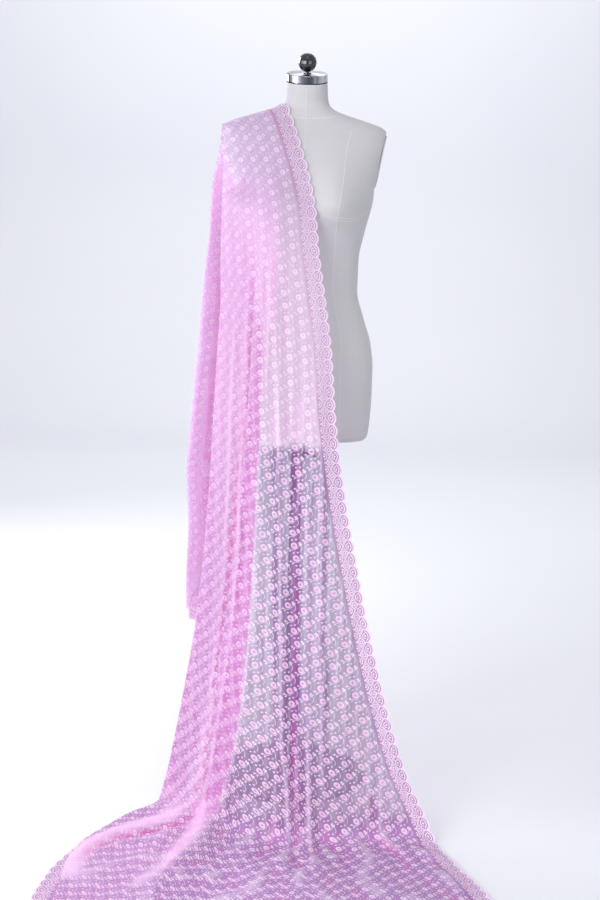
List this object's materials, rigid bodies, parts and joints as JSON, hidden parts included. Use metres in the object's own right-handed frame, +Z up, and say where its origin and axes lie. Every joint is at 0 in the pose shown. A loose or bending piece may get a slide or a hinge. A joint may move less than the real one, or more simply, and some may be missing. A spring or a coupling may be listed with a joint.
{
  "type": "dupatta stole draped on a limbless dress form stand",
  "caption": "Pink embroidered net dupatta stole pleated over one shoulder of a limbless dress form on a pole stand, with its scalloped train on the floor.",
  "frame": {"origin": "on the floor under the pole, at the middle of the base plate's underside", "axes": "+Z up; the form faces -Y; +X is to the right of someone who looks at its front"},
  "size_m": [0.8953, 1.0265, 1.6226],
  "materials": {
    "net": "sheer pink net with thread embroidery",
    "border": "dense satin-stitch embroidery on net, scalloped edge",
    "form_cover": "matt grey jersey",
    "form_cap": "polished",
    "stand": "satin black"
  },
  "bodies": {
    "root": {"torso": "form_cover", "arm_plate_left": "form_cover", "arm_plate_right": "form_cover", "neck_cap": "form_cap", "finial": "stand", "pole": "stand", "pole_collar": "stand", "collar_screw": "stand", "base_plate": "stand", "base_hub": "stand", "tail_panel": "net", "tail_border_left": "border", "tail_border_right": "border", "tail_border_end": "border", "shoulder_pleats": "net", "shoulder_border": "border", "fall_panel": "net", "fall_border_left": "border", "fall_border_right": "border", "train_panel": "net", "train_border_left": "border", "train_border_right": "border", "train_border_end": "border"}
  },
  "joints": []
}
